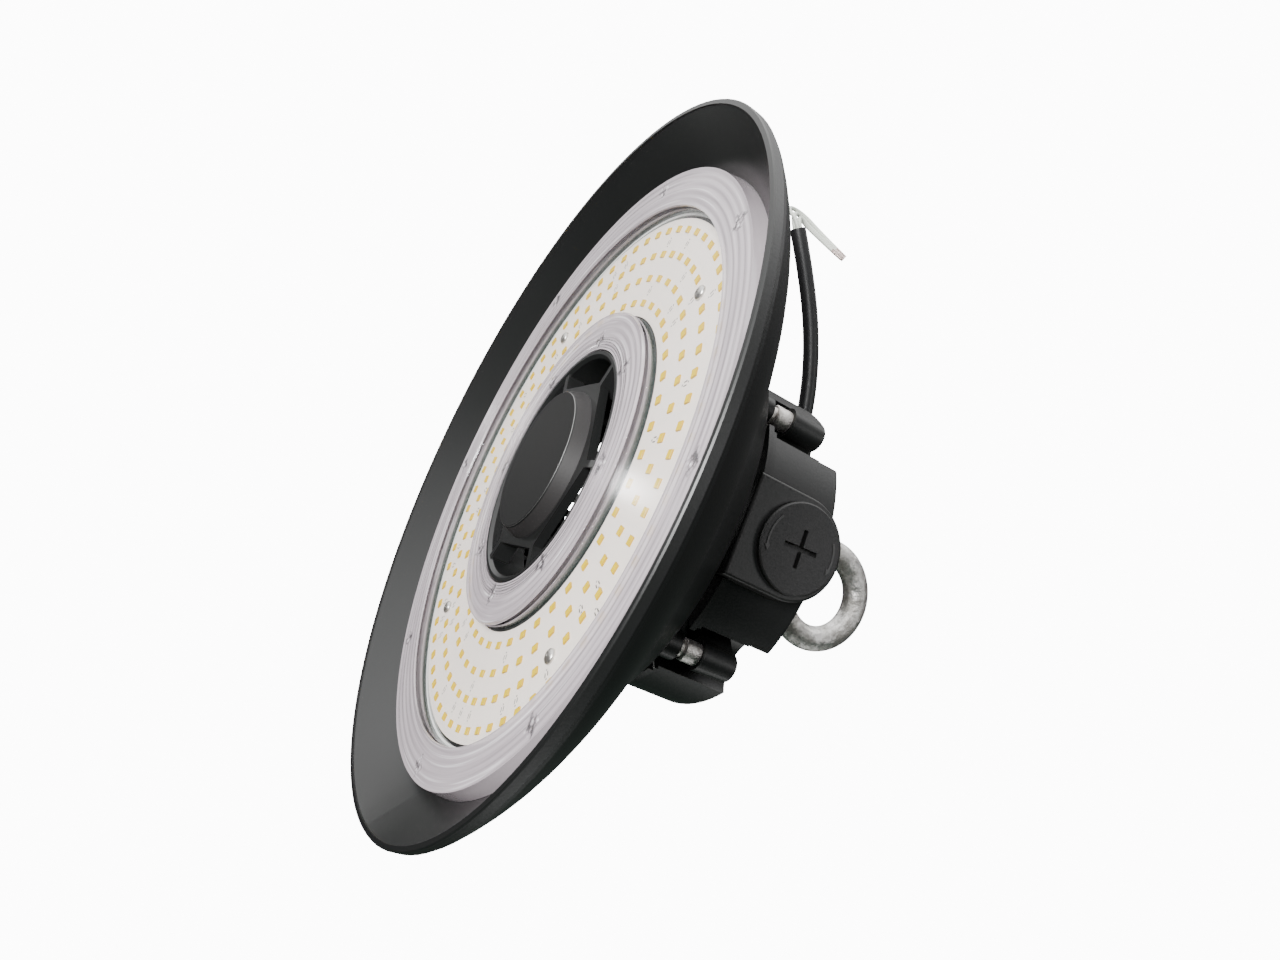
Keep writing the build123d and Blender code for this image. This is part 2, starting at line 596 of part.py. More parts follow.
def make_cover():
    body = drum_shell()
    body += port_boss()
    rib_l = RIB_OUT_R - DOME_TOP_R + 4
    rib = Pos(RIB_OUT_R - rib_l / 2, 0, DRUM_TOP_H + RIB_UP / 2 - 1) * Box(rib_l, RIB_T, RIB_UP + 2)
    rib = chamfer(rib.edges().group_by(Axis.Z)[-1].sort_by(Axis.X)[-1], RIB_UP * 0.8)
    body += [Rot(0, 0, 360 / RIB_COUNT * (i + 0.5)) * rib for i in range(RIB_COUNT)]
    body += dome_shell()
    body += gland_line(GLAND_PAD_R, DOME_TOP_R - DOME_WALL, GLAND_FACE)
    body -= gland_line(GLAND_HEX_AF / 2 / cos(pi / 6) + GLAND_SPOT, GLAND_FACE, GLAND_FACE + GLAND_HEX_T)
    inside = drum_plan(DRUM_R - DRUM_WALL)
    body -= Pos(0, 0, PORT_LOW_H) * extrude(inside, DRUM_CEILING_H - PORT_LOW_H)
    body += [place * lug() for place in around(POST_PCD_R, LONG_SCREWS, 45)]
    body -= dome_hollow()
    boss = disc(BASE_BOSS_R, BASE_H + BASE_T + BASE_RIM_UP + 1, DRUM_CEILING_H + 1)
    bore = disc(M3_R + SLIP, BASE_H, BASE_H + BASE_T + BASE_SCREW_L)
    body += [place * boss for place in around(BASE_SCREW_PCD_R, BASE_SCREWS)]
    body -= [place * bore for place in around(BASE_SCREW_PCD_R, BASE_SCREWS)]
    body -= pocket_cut(M5_R + SLIP, SLEEVE_TO, COLUMN_TOP_H)
    body -= pocket_cut(M5_HEAD_R + FIT, SCREW_SEAT_H, COLUMN_TOP_H)
    body -= gland_line(GLAND_THREAD_R + SLIP, 0, GLAND_FACE)
    body -= disc(M12_R + SLIP, DOME_CEILING_H, DOME_TOP_H)
    body -= Pos(0, -PORT_FACE, PORT_H) * Rot(-90, 0, 0) * extrude(Circle(PORT_BORE_R + FIT), PORT_FACE / 2)
    return body


def make_base_screws():
    one = Pos(0, 0, BASE_H) * screw(M3_R, BASE_SCREW_L, M3_HEAD_R, M3_HEAD_T)
    return Compound([place * one for place in around(BASE_SCREW_PCD_R, BASE_SCREWS)])


def make_long_screws():
    length = SCREW_SEAT_H - POST_TOP_H + M5_GRIP
    one = Pos(0, 0, SCREW_SEAT_H) * Rot(180, 0, 0) * screw(M5_R, length, M5_HEAD_R, M5_HEAD_T, M5_KEY_AF)
    return Compound([place * one for place in around(POST_PCD_R, LONG_SCREWS, 45)])


def make_sleeves():
    # A round spacer with a narrower foot that stands on the post.
    sleeve = ring(SLEEVE_R, M5_R + SLIP, SLEEVE_FROM, SLEEVE_TO)
    sleeve = chamfer(sleeve.edges().group_by(Axis.Z)[0].sort_by(Edge.length)[-1], 0.5)
    sleeve += ring(M5_R + 1.1, M5_R + SLIP, POST_TOP_H, SLEEVE_FROM)
    return Compound([place * sleeve for place in around(POST_PCD_R, LONG_SCREWS, 45)])


def port_line(radius, near, far):
    # A round bar along the port's axis, from one distance to another from the lamp's axis.
    return Pos(0, -near, PORT_H) * Rot(90, 0, 0) * extrude(Circle(radius), far - near)


def make_plug():
    face = PORT_FACE + PORT_SEAL_T
    head = port_line(PLUG_R, face, face + PLUG_T)
    head = chamfer(head.edges().group_by(Axis.Y)[0], 0.6)
    head += port_line(PORT_BORE_R, face - PLUG_STEM_L, face)
    head -= port_line(PLUG_STEM_BORE_R, face - PLUG_STEM_L, face - PLUG_FLOOR)
    slot = Box(SLOT_L, 2 * SLOT_DEPTH, SLOT_W) + Box(SLOT_W, 2 * SLOT_DEPTH, SLOT_L)
    return head - Pos(0, -face - PLUG_T, PORT_H) * Rot(0, -3, 0) * slot


def make_plug_seal():
    return (port_line(PORT_BORE_R + FIT + PORT_SEAL_W, PORT_FACE, PORT_FACE + PORT_SEAL_T)
            - port_line(PORT_BORE_R + FIT, PORT_FACE, PORT_FACE + PORT_SEAL_T))


def make_eyebolt():
    middle = EYE_IN_R + EYE_BAR_R
    eye = Pos(0, 0, EYE_H) * Rot(90, 0, 0) * Torus(middle, EYE_BAR_R)
    neck = EYE_H - EYE_IN_R - COLLAR_H
    foot = spun(polygon([(0, COLLAR_H), (COLLAR_R - 0.8, COLLAR_H), (COLLAR_R, COLLAR_H + 0.8),
                         (COLLAR_R, COLLAR_H + COLLAR_T - 0.8), (COLLAR_R - 0.8, COLLAR_H + COLLAR_T),
                         (COLLAR_NECK_R, COLLAR_H + neck - 1), (0, COLLAR_H + neck - 1)]))
    eye -= disc(2 * middle, COLLAR_H - 3 * EYE_BAR_R, COLLAR_H)
    low = DOME_CEILING_H - EYE_WASHER_T - EYE_NUT_T - EYE_STUB
    shank = disc(M12_R, low, COLLAR_H)
    shank = chamfer(shank.edges().group_by(Axis.Z)[0], 1.0)
    return eye + foot + shank


def make_eye_nut():
    top = DOME_CEILING_H - EYE_WASHER_T
    nut = Pos(0, 0, top - EYE_NUT_T) * hexagon(EYE_NUT_AF, EYE_NUT_T)
    return nut - disc(M12_R + SLIP, top - EYE_NUT_T, top)


def make_gland_body():
    body = gland_line(GLAND_THREAD_R, DOME_TOP_R - DOME_WALL, GLAND_FACE)
    body += Pos(-GLAND_FACE, 0, GLAND_H) * Rot(0, -90, 0) * hexagon(GLAND_HEX_AF, GLAND_HEX_T)
    return body - gland_line(CORD_R + SLIP, 0, GLAND_FACE + GLAND_HEX_T)


def gland_mouth():
    return GLAND_FACE + GLAND_HEX_T + GLAND_NUT_T


def make_gland_nut():
    near = GLAND_FACE + GLAND_HEX_T
    body = gland_line(GLAND_NUT_R, near, gland_mouth())
    body = fillet(body.edges().group_by(Axis.X)[0], 2.5)
    for i in range(12):
        flute = Rot(0, 0, 30 * i) * Pos(GLAND_NUT_R + 0.7, 0, -GLAND_NUT_T) * Cylinder(1.3, GLAND_NUT_T)
        body -= Pos(-near, 0, GLAND_H) * Rot(0, 90, 0) * flute
    return body - gland_line(GLAND_SEAL_R, near, gland_mouth())


def make_gland_seal():
    near = GLAND_FACE + GLAND_HEX_T
    return gland_line(GLAND_SEAL_R, near, gland_mouth() + GLAND_SEAL_OUT)


def tube(name, points, radius):
    # Straight runs joined by tangent arcs, each as large as its two runs allow.
    pts = [Vector(*p) for p in points]
    radii = []
    for a, b, c in zip(pts, pts[1:], pts[2:]):
        turn = radians((b - a).get_angle(c - b))
        radii.append(FILLET_SHARE * min((b - a).length, (c - b).length) / tan(turn / 2))
    path = FilletPolyline(*pts, radius=radii)
    start = Plane(pts[0], z_dir=(pts[1] - pts[0]).normalized())
    body = sweep(start * Circle(radius), path)
    length = path.length
    ratio = body.volume / (pi * radius ** 2 * length)
    print(f"{name}: length {length:.1f}, radii {[round(r, 1) for r in radii]}, volume ratio {ratio:.4f}")
    return body


def make_cord():
    start = (-gland_mouth() - GLAND_SEAL_OUT, 0.0, GLAND_H)
    return tube("power_cord", [start, *CORD_POINTS, CORD_END], CORD_R)


def wire_start(offset):
    # Where a wire leaves the cord's cut end, square to the cord.
    along = (Vector(*CORD_END) - Vector(*CORD_POINTS[-1])).normalized()
    side = Vector(0, 1, 0)
    up = along.cross(side)
    return Vector(*CORD_END) + up * offset[0] + side * offset[1], along


def make_wire(name):
    offset, first_run, points = WIRES[name]
    start, along = wire_start(offset)
    return tube(name, [tuple(start), tuple(start + along * first_run), *points], WIRE_R)


def make_lead():
    high = BASE_H - LEAD_DOWN
    low = FLOOR_BACK_H + LEAD_UP
    points = [(0, LEAD_Y, PCB_H), (0, LEAD_Y, high), (0, LEAD_BOARD_Y, low), (0, LEAD_BOARD_Y, FLOOR_H)]
    return tube("led_lead", points, LEAD_R)


def grommet(y, low, high, lip_below):
    body = disc(GROMMET_R - SLIP, low, high)
    body += disc(GROMMET_LIP_R, high, high + GROMMET_LIP)
    if lip_below:
        body += disc(GROMMET_LIP_R, low - GROMMET_LIP, low)
    return Pos(0, y, 0) * (body - disc(LEAD_R + SLIP, low - GROMMET_LIP, high + GROMMET_LIP))


def make_grommets():
    return Compound([grommet(LEAD_Y, BASE_H, BASE_H + BASE_T, True),
                     grommet(LEAD_BOARD_Y, FLOOR_H, FLOOR_BACK_H, False)])


def make_driver_board():
    body = disc(PCB_R, PCB_H, PCB_TOP_H)
    body -= pocket_cut(POCKET_R + DRUM_WALL + 1, PCB_H, PCB_TOP_H)
    edge = PORT_FACE - PORT_CLEAR
    return body - Pos(0, -edge - PCB_R / 2, PCB_H) * Box(2 * PCB_R, PCB_R, 4 * PCB_T)


def make_transformer():
    # A closed core whose window is filled by the winding, which stands out at either side.
    length, width = CORE_SIZE
    opening = length * (1 - 2 * CORE_LIMB)
    core = Box(length, width, TALL_H)
    coil = Box(opening, width + 2 * COIL_PAST, TALL_H * (1 - 2 * CORE_LIMB))
    coil = fillet(coil.edges().filter_by(Axis.Y), COIL_PAST)
    return Pos(*CORE_AT, PCB_TOP_H + TALL_H / 2) * (core + coil)


def make_capacitors():
    can = fillet(disc(CAN_R, PCB_TOP_H, PCB_TOP_H + TALL_H).edges().group_by(Axis.Z)[-1], 1.0)
    return Compound([Pos(*place, 0) * can for place in CAN_AT])


def make_choke():
    return Pos(*CHOKE_AT, 0) * ring(CHOKE_R, CHOKE_HOLE_R, PCB_TOP_H, PCB_TOP_H + CHOKE_T)


def make_block():
    length, width, height = BLOCK_SIZE
    body = Box(length, width, height)
    for i in (-1, 0, 1):
        way = Cylinder(WIRE_WAY_R, 2 * WIRE_WAY_DEPTH)
        body -= Pos(i * WIRE_WAY_PITCH, -width / 2, 0) * Rot(90, 0, 0) * way
    return Pos(*BLOCK_AT, PCB_TOP_H + height / 2) * body


def main():
    os.makedirs("parts", exist_ok=True)
    save("housing", make_housing())
    save("lens", make_lens())
    save("lens_gasket_outer", make_gasket(True))
    save("lens_gasket_inner", make_gasket(False))
    save("led_board", make_board())
    for i, (share, count) in enumerate(CHIP_RINGS):
        save(f"led_chips_ring_{i + 1}", make_chips(BOARD_IN_R + BOARD_W * share, count))
    save("board_screws", make_board_screws())
    save("center_cap", make_cap())
    save("cap_screw", make_cap_screw())
    save("driver_base", make_base())
    save("base_gasket", make_seal())
    save("driver_cover", make_cover())
    save("base_screws", make_base_screws())
    save("long_screws", make_long_screws())
    save("spacer_sleeves", make_sleeves())
    save("port_plug", make_plug())
    save("port_plug_seal", make_plug_seal())
    save("eyebolt", make_eyebolt())
    save("eyebolt_seal", ring(EYE_SEAL_R, M12_R + SLIP, DOME_TOP_H, COLLAR_H))
    save("eyebolt_washer", ring(EYE_WASHER_R, M12_R + SLIP, DOME_CEILING_H - EYE_WASHER_T, DOME_CEILING_H))
    save("eyebolt_nut", make_eye_nut())
    save("gland_body", make_gland_body())
    save("gland_nut", make_gland_nut())
    save("gland_seal", make_gland_seal())
    save("power_cord", make_cord())
    for name in WIRES:
        save(name, make_wire(name))
    save("led_lead", make_lead())
    save("lead_grommets", make_grommets())
    save("driver_board", make_driver_board())
    save("transformer", make_transformer())
    save("bulk_capacitors", make_capacitors())
    save("filter_choke", make_choke())
    save("terminal_block", make_block())


main()
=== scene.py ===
import math
import bmesh
import bpy
from mathutils import Matrix, Vector


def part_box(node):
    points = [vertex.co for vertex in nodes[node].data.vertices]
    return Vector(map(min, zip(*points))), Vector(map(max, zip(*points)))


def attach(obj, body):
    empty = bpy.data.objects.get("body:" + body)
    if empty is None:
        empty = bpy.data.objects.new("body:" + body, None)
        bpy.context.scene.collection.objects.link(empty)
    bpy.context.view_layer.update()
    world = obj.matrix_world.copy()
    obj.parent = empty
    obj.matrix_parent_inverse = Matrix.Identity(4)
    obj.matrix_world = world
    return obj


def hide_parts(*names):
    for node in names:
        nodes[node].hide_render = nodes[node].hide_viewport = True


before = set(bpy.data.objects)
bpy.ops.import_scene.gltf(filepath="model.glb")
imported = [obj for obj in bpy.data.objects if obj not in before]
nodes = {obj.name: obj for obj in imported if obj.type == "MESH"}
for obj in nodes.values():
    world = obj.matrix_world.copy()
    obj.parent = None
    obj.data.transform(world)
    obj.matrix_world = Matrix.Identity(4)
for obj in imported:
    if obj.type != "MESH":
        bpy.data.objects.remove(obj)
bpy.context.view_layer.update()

# The light as the picture shows it: seen from below and in front, and rolled over on its side. The camera's place
# was worked out from the ellipses of the rim and the chip rings. A pale floor lies far below the light, and no
# glossy surface mirrors it.
eye = bpy.data.objects.new("camera", bpy.data.cameras.new("camera"))
bpy.context.scene.collection.objects.link(eye)
to_right = Vector((-0.37452811, -0.41671302, 0.82829883))
to_top = Vector((-0.91267649, 0.00810658, -0.40860240))
to_viewer = Vector((0.16355527, -0.90900195, -0.38336031))
eye.matrix_world = Matrix((to_right, to_top, to_viewer)).transposed().to_4x4()
eye.location = (0.06188, -0.40584, -0.27745)
eye.data.sensor_width = 36.0
eye.data.lens = 1032.919 / 1280 * 36.0
eye.data.clip_start = 0.01
bpy.context.scene.camera = eye

floor_mesh = bpy.data.meshes.new("pale_floor")
edge, drop = 4.0, -1.6
floor_mesh.from_pydata([(-edge, -edge, drop), (edge, -edge, drop), (edge, edge, drop), (-edge, edge, drop)], [],
                       [(0, 1, 2, 3)])
floor = bpy.data.objects.new("pale_floor", floor_mesh)
bpy.context.scene.collection.objects.link(floor)
pale = bpy.data.materials.new("pale_floor")
pale.use_nodes = True
pale_shader = pale.node_tree.nodes["Principled BSDF"].inputs
pale_shader["Base Color"].default_value = (0.9, 0.9, 0.9, 1.0)
pale_shader["Roughness"].default_value = 0.9
pale_shader["Emission Color"].default_value = (1.0, 1.0, 1.0, 1.0)
pale_shader["Emission Strength"].default_value = 0.5
floor_mesh.materials.append(pale)
floor.visible_glossy = False


# Supply cord: three stranded wires in a round black rubber sheath. It leaves the gland level, bends down under
# its own stiffness and is cut short, and its wires are bared and bent back beside it.
class Paint:
    """A socket in a finish's node tree. Sums and products of such sockets write its Math nodes."""

    def __init__(self, tree, socket):
        self.tree = tree
        self.socket = socket

    def node(self, kind, settings, values, output=0):
        made = self.tree.nodes.new("ShaderNode" + kind)
        for name, setting in settings.items():
            setattr(made, name, setting)
        for name, value in values.items():
            if isinstance(value, Paint):
                self.tree.links.new(value.socket, made.inputs[name])
            else:
                made.inputs[name].default_value = value
        return Paint(self.tree, made.outputs[output])

    def sum_of(self, operation, *values):
        return self.node("Math", {"operation": operation}, dict(enumerate(values)))

    def __add__(self, other): return self.sum_of("ADD", self, other)
    def __sub__(self, other): return self.sum_of("SUBTRACT", self, other)
    def __rsub__(self, other): return self.sum_of("SUBTRACT", other, self)
    def __mul__(self, other): return self.sum_of("MULTIPLY", self, other)
    def __truediv__(self, other): return self.sum_of("DIVIDE", self, other)
    def __mod__(self, other): return self.sum_of("FLOORED_MODULO", self, other)
    def __gt__(self, other): return self.sum_of("GREATER_THAN", self, other)
    def __lt__(self, other): return self.sum_of("LESS_THAN", self, other)
    def __abs__(self): return self.sum_of("ABSOLUTE", self)
    __radd__ = __add__
    __rmul__ = __mul__

    def speckle(self, size, detail=2.0, roughness=0.5):
        # Noise whose grains measure about this many metres.
        return self.node("TexNoise", {}, {"Vector": self, "Scale": 0.5 / size, "Detail": detail,
                                          "Roughness": roughness}, "Fac")

    def spread(self, low, high, from_low=0.0, from_high=1.0):
        return self.node("MapRange", {"clamp": True}, {"Value": self, "From Min": from_low, "From Max": from_high,
                                                       "To Min": low, "To Max": high})

    def tint(self, dark, light):
        return self.node("Mix", {"data_type": "RGBA"}, {0: self, 6: (*dark, 1.0), 7: (*light, 1.0)}, 2)

    def over(self, under, top):
        # Two colours or values laid over each other by this mask.
        return self.node("Mix", {"data_type": "RGBA"}, {0: self, 6: under, 7: top}, 2)

    def relief(self, depth, strength=1.0):
        return self.node("Bump", {}, {"Height": self, "Distance": depth, "Strength": strength})

    def part(self, which):
        return self.node("SeparateXYZ", {}, {"Vector": self}, "XYZ".index(which))

    def from_axis(self):
        # Distance from the light's axis.
        squares = self.part("X") * self.part("X") + self.part("Y") * self.part("Y")
        return squares.sum_of("SQRT", squares)

    def turn(self):
        # Angle round the light's axis.
        across = self.part("Y")
        return across.sum_of("ARCTAN2", across, self.part("X"))

    def chance(self):
        # A random number from 0 to 1 for each whole number.
        return self.node("TexWhiteNoise", {"noise_dimensions": "1D"}, {"W": self.sum_of("FLOOR", self)}, "Value")

    def along(self, streaks, waves):
        # Noise drawn out round the axis: streaks are its widths in metres, waves how often it changes in a turn.
        turn = self.turn()
        where = self.node("CombineXYZ", {}, {0: self.from_axis() * (1.0 / streaks),
                                             1: turn.sum_of("COSINE", turn) * waves,
                                             2: turn.sum_of("SINE", turn) * waves})
        return where.node("TexNoise", {}, {"Vector": where, "Scale": 1.0, "Detail": 2.0}, "Fac")


def start_finish(name, **constants):
    # A new finish, with what is the same all over it set on the shader's own sockets.
    finish = bpy.data.materials.new(name)
    finish.use_nodes = True
    shader = finish.node_tree.nodes["Principled BSDF"]
    for key, value in constants.items():
        shader.inputs[key.replace("_", " ")].default_value = value
    start = Paint(finish.node_tree, None)
    return finish, start.node("TexCoord", {}, {}, "Object")


def lay_on(finish, **paints):
    shader = finish.node_tree.nodes["Principled BSDF"]
    for key, paint in paints.items():
        finish.node_tree.links.new(paint.socket, shader.inputs[key.replace("_", " ")])


def dress(finish, *names):
    for name in names:
        nodes[name].data.materials.clear()
        nodes[name].data.materials.append(finish)


def flex(name, route, thickness, finish):
    # A smooth line through the air, round in section, with the route's points as its control points.
    line = bpy.data.curves.new(name, "CURVE")
    line.dimensions = "3D"
    spline = line.splines.new("NURBS")
    spline.points.add(len(route) - 1)
    for point, place in zip(spline.points, route):
        point.co = (*place, 1.0)
    spline.order_u = 3
    spline.use_endpoint_u = True
    spline.resolution_u = 12
    line.bevel_depth = thickness / 2
    line.bevel_resolution = 6
    line.use_fill_caps = True
    line.materials.append(finish)
    piece = bpy.data.objects.new(name, line)
    bpy.context.scene.collection.objects.link(piece)
    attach(piece, "root")
    return piece


rubber, place = start_finish("cord_rubber", Specular_IOR_Level=0.5)
grain = place.speckle(0.0009, 3.0)
lay_on(rubber, Base_Color=place.speckle(0.02, 2.0).tint((0.010, 0.010, 0.011), (0.022, 0.022, 0.023)),
       Roughness=grain.spread(0.34, 0.5), Normal=grain.relief(0.00006, 0.5))
cord_thickness = 0.0075
cord_route = [(-0.0536, 0.0, -0.0403), (-0.069, 0.0, -0.0403), (-0.098, 0.0, -0.0485), (-0.128, 0.0, -0.0641),
              (-0.1501, 0.0, -0.0808)]
power_cord = flex("supply_cord", cord_route, cord_thickness, rubber)
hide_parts("power_cord")

wire_thickness, bared = 0.002, 0.006
wire_routes = {
    "wire_live": (0.0545, [(-0.14965, -0.00125, -0.08140), (-0.15404, -0.00125, -0.08471),
                           (-0.1564, 0.0022, -0.0874), (-0.1616, 0.0076, -0.0850), (-0.1628, 0.0094, -0.0759),
                           (-0.1581, 0.0072, -0.0642), (-0.1520, 0.0021, -0.0509)]),
    "wire_neutral": (0.0458, [(-0.14965, 0.00125, -0.08140), (-0.15348, 0.00125, -0.08429),
                              (-0.1589, 0.0054, -0.0826), (-0.1608, 0.0079, -0.0792),
                              (-0.1583, 0.0077, -0.0721), (-0.1547, 0.0046, -0.0634), (-0.1496, 0.0002, -0.0525)]),
    "wire_earth": (0.0358, [(-0.15097, 0.0, -0.07964), (-0.15313, 0.0, -0.08127), (-0.1558, 0.0013, -0.0815),
                            (-0.1572, 0.0039, -0.0790), (-0.1561, 0.0048, -0.0738), (-0.1540, 0.0033, -0.0678),
                            (-0.1511, 0.0006, -0.0611), (-0.1484, -0.0022, -0.0551)]),
}
for name, (length, route) in wire_routes.items():
    insulation, place = start_finish(name + "_insulation", Subsurface_Weight=0.1,
                                     Subsurface_Radius=(0.001, 0.001, 0.001))
    tip = place.node("VectorMath", {"operation": "DISTANCE"}, {0: place, 1: route[-1]}, "Value")
    bare = tip < bared
    strands = place.node("TexWave", {"wave_type": "BANDS", "bands_direction": "DIAGONAL"},
                         {"Vector": place, "Scale": 900.0, "Distortion": 0.6})
    sheath = place.speckle(0.004).tint((0.62, 0.66, 0.58), (0.76, 0.78, 0.72))
    lay_on(insulation, Base_Color=bare.over(sheath, strands.tint((0.42, 0.33, 0.30), (0.72, 0.62, 0.58))),
           Metallic=bare * 0.8, Roughness=bare.spread(0.42, 0.34), Normal=(strands * bare).relief(0.00015, 0.8))
    wire = flex(name + "_run", route, wire_thickness, insulation)
    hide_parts(name)


# Shade: one aluminium die casting with a satin black powder coat. The flange in front was turned and is almost
# smooth under the coat; the rim, the back and the fins keep the coat's fine grain.
casting, place = start_finish("shade_coat", Specular_IOR_Level=0.45)
facing = place.node("NewGeometry", {}, {}, "Normal").part("Z")
smooth = (facing * -1.0).spread(0.0, 1.0, 0.35, 0.6)
grain = place.speckle(0.0007, 3.0, 0.6)
cloud = place.speckle(0.06, 3.0)
dust = place.speckle(0.0012, 4.0, 0.75).spread(0.0, 1.0, 0.68, 0.82)
under = cloud.tint((0.0052, 0.0056, 0.0055), (0.0088, 0.0093, 0.0091))
lay_on(casting, Base_Color=(dust * 0.2).over(under, (0.06, 0.058, 0.056, 1.0)),
       Roughness=smooth.spread(0.40, 0.30) + cloud * 0.06,
       Normal=(grain * smooth.spread(1.0, 0.15)).relief(0.00009, 0.7))
dress(casting, "housing")

# Drum and base plate: two more castings with the same coat, a little coarser, with a few specks of dust and
# pale rub marks. A thin grey silicone gasket lies between them.
coat, place = start_finish("drum_coat", Specular_IOR_Level=0.45)
grain = place.speckle(0.0006, 3.0, 0.6)
cloud = place.speckle(0.03, 3.0)
dust = place.speckle(0.0016, 4.0, 0.7).spread(0.0, 1.0, 0.64, 0.8)
rubs = place.speckle(0.009, 5.0, 0.8).spread(0.0, 1.0, 0.63, 0.72) * grain
under = cloud.tint((0.0080, 0.0083, 0.0083), (0.0130, 0.0134, 0.0133))
lay_on(coat, Base_Color=(dust * 0.2 + rubs * 0.12).over(under, (0.07, 0.068, 0.066, 1.0)),
       Roughness=cloud.spread(0.36, 0.48) + grain * 0.05, Normal=grain.relief(0.00009, 0.6))
dress(coat, "driver_cover", "driver_base")
silicone, place = start_finish("grey_silicone")
grain = place.speckle(0.0015, 2.0)
lay_on(silicone, Base_Color=grain.tint((0.36, 0.36, 0.35), (0.50, 0.50, 0.49)), Roughness=grain.spread(0.45, 0.6),
       Normal=grain.relief(0.00005, 0.5))
dress(silicone, "base_gasket")

# Light board: an aluminium disc under matt white solder mask. The copper under it shows as faint steps, and
# small pairs of printed bars mark the places of resistors and test points.
board, place = start_finish("white_solder_mask", Specular_IOR_Level=0.5)
from_axis, turn = place.from_axis(), place.turn()
row_gap, crossing_count = 0.0056, 44
rows = abs((from_axis / row_gap) % 1.0 - 0.5) < 0.035
crossings = abs((turn / math.radians(360 / crossing_count)) % 1.0 - 0.5) < 0.03
steps = rows.sum_of("MAXIMUM", rows, crossings)
prints = None
for ring_radius, cells in ((0.0832, 46), (0.0947, 54), (0.1059, 62)):
    cell = turn / (math.tau / cells)
    offset = abs(cell % 1.0 - 0.5) * (math.tau / cells * ring_radius)
    bars = (offset > 0.0006) * (offset < 0.0012) * (abs(from_axis - ring_radius) < 0.0010)
    dots = (offset < 0.0004) * (abs(abs(from_axis - ring_radius) - 0.0019) < 0.0003)
    marks = (bars + dots) * ((cell + ring_radius * 9000.0).chance() < 0.24)
    prints = marks if prints is None else prints + marks
mask_grain = place.speckle(0.0012, 3.0)
mask_white = place.speckle(0.03).tint((0.86, 0.78, 0.71), (0.92, 0.85, 0.79))
stepped = (steps * 0.25).over(mask_white, (0.72, 0.71, 0.68, 1.0))
lay_on(board, Base_Color=prints.over(stepped, (0.05, 0.05, 0.045, 1.0)), Roughness=mask_grain.spread(0.30, 0.44),
       Normal=(mask_grain * 0.3 - steps).relief(0.00003, 0.5))
dress(board, "led_board")


# Chips: four rings of white mouldings soldered to the board, each with a yellow phosphor window sunk into its
# face. The mouldings are painted a darker orange-yellow, as painted shade on the chips' sides. Where a board
# screw stands in the third ring, the chip is left out.
def soldered_chip(shape, ring_radius, angle, seat, front):
    out, across = 0.0015, 0.0018
    levels = ((0.0, seat), (0.0, front + 0.00010), (0.00008, front), (0.00014, front), (0.00020, front + 0.00009))
    corners = ((-1, -1), (1, -1), (1, 1), (-1, 1))
    turned_by = Matrix.Rotation(angle, 3, "Z")
    rings = []
    for inset, height in levels:
        square = [Vector((ring_radius + a * (out - inset), b * (across - inset), height)) for a, b in corners]
        rings.append([shape.verts.new(turned_by @ corner) for corner in square])
    for low, high in zip(rings, rings[1:]):
        for i in range(4):
            shape.faces.new((low[i], low[(i + 1) % 4], high[(i + 1) % 4], high[i]))
    shape.faces.new(rings[0][::-1])
    glowing = shape.faces.new(rings[-1])
    glowing.material_index = 1


# Painted shade: the mouldings are coloured a darker orange-yellow than the phosphor, standing for their shaded sides.
moulding, place = start_finish("chip_moulding", Specular_IOR_Level=0.5)
grain = place.speckle(0.0008, 2.0)
lay_on(moulding, Base_Color=grain.tint((0.46, 0.28, 0.003), (0.60, 0.38, 0.010)), Roughness=grain.spread(0.3, 0.4))
phosphor, place = start_finish("phosphor", Specular_IOR_Level=0.25)
grain = place.speckle(0.0005, 2.0)
lay_on(phosphor, Base_Color=grain.tint((0.60, 0.42, 0.0), (0.74, 0.54, 0.002)), Roughness=grain.spread(0.4, 0.55),
       Normal=grain.relief(0.00004, 0.5))
chip_rings = {"led_chips_ring_1": (0.0774, 44), "led_chips_ring_2": (0.0889, 48), "led_chips_ring_3": (0.1001, 60),
              "led_chips_ring_4": (0.1116, 64)}
screw_circle = chip_rings["led_chips_ring_3"][0]
chips_to_a_screw = chip_rings["led_chips_ring_3"][1] // 4
for name, (ring_radius, count) in chip_rings.items():
    low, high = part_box(name)
    shape = bmesh.new()
    for i in range(count):
        if name == "led_chips_ring_3" and i % chips_to_a_screw == 0:
            continue
        soldered_chip(shape, ring_radius, math.radians(45 + 360 / count * i), high[2], low[2])
    bmesh.ops.recalc_face_normals(shape, faces=shape.faces)
    mesh = bpy.data.meshes.new(name)
    shape.to_mesh(mesh)
    shape.free()
    mesh.materials.append(moulding)
    mesh.materials.append(phosphor)
    chips = bpy.data.objects.new("chips_" + name[-1], mesh)
    bpy.context.scene.collection.objects.link(chips)
    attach(chips, "root")
    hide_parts(name)

# Board screws: small zinc-plated pan heads with a cross recess. Each head is turned a little differently.
zinc, place = start_finish("bright_zinc", Metallic=1.0)
scuffs = place.speckle(0.0006, 4.0, 0.7)
lay_on(zinc, Base_Color=scuffs.tint((0.48, 0.47, 0.45), (0.74, 0.73, 0.70)), Roughness=scuffs.spread(0.22, 0.45),
       Normal=scuffs.relief(0.00004, 0.6))


def turned_ring(name, section, steps):
    # A closed section (radius, height) turned round the light's axis.
    shape = bmesh.new()
    rounds = []
    for k in range(steps):
        a = math.tau * k / steps
        rounds.append([shape.verts.new((r * math.cos(a), r * math.sin(a), z)) for r, z in section])
    for k in range(steps):
        here, there = rounds[k], rounds[(k + 1) % steps]
        for i in range(len(section)):
            j = (i + 1) % len(section)
            shape.faces.new((here[i], there[i], there[j], here[j]))
    bmesh.ops.remove_doubles(shape, verts=shape.verts, dist=1e-7)
    bmesh.ops.recalc_face_normals(shape, faces=shape.faces)
    mesh = bpy.data.meshes.new(name)
    shape.to_mesh(mesh)
    shape.free()
    return mesh


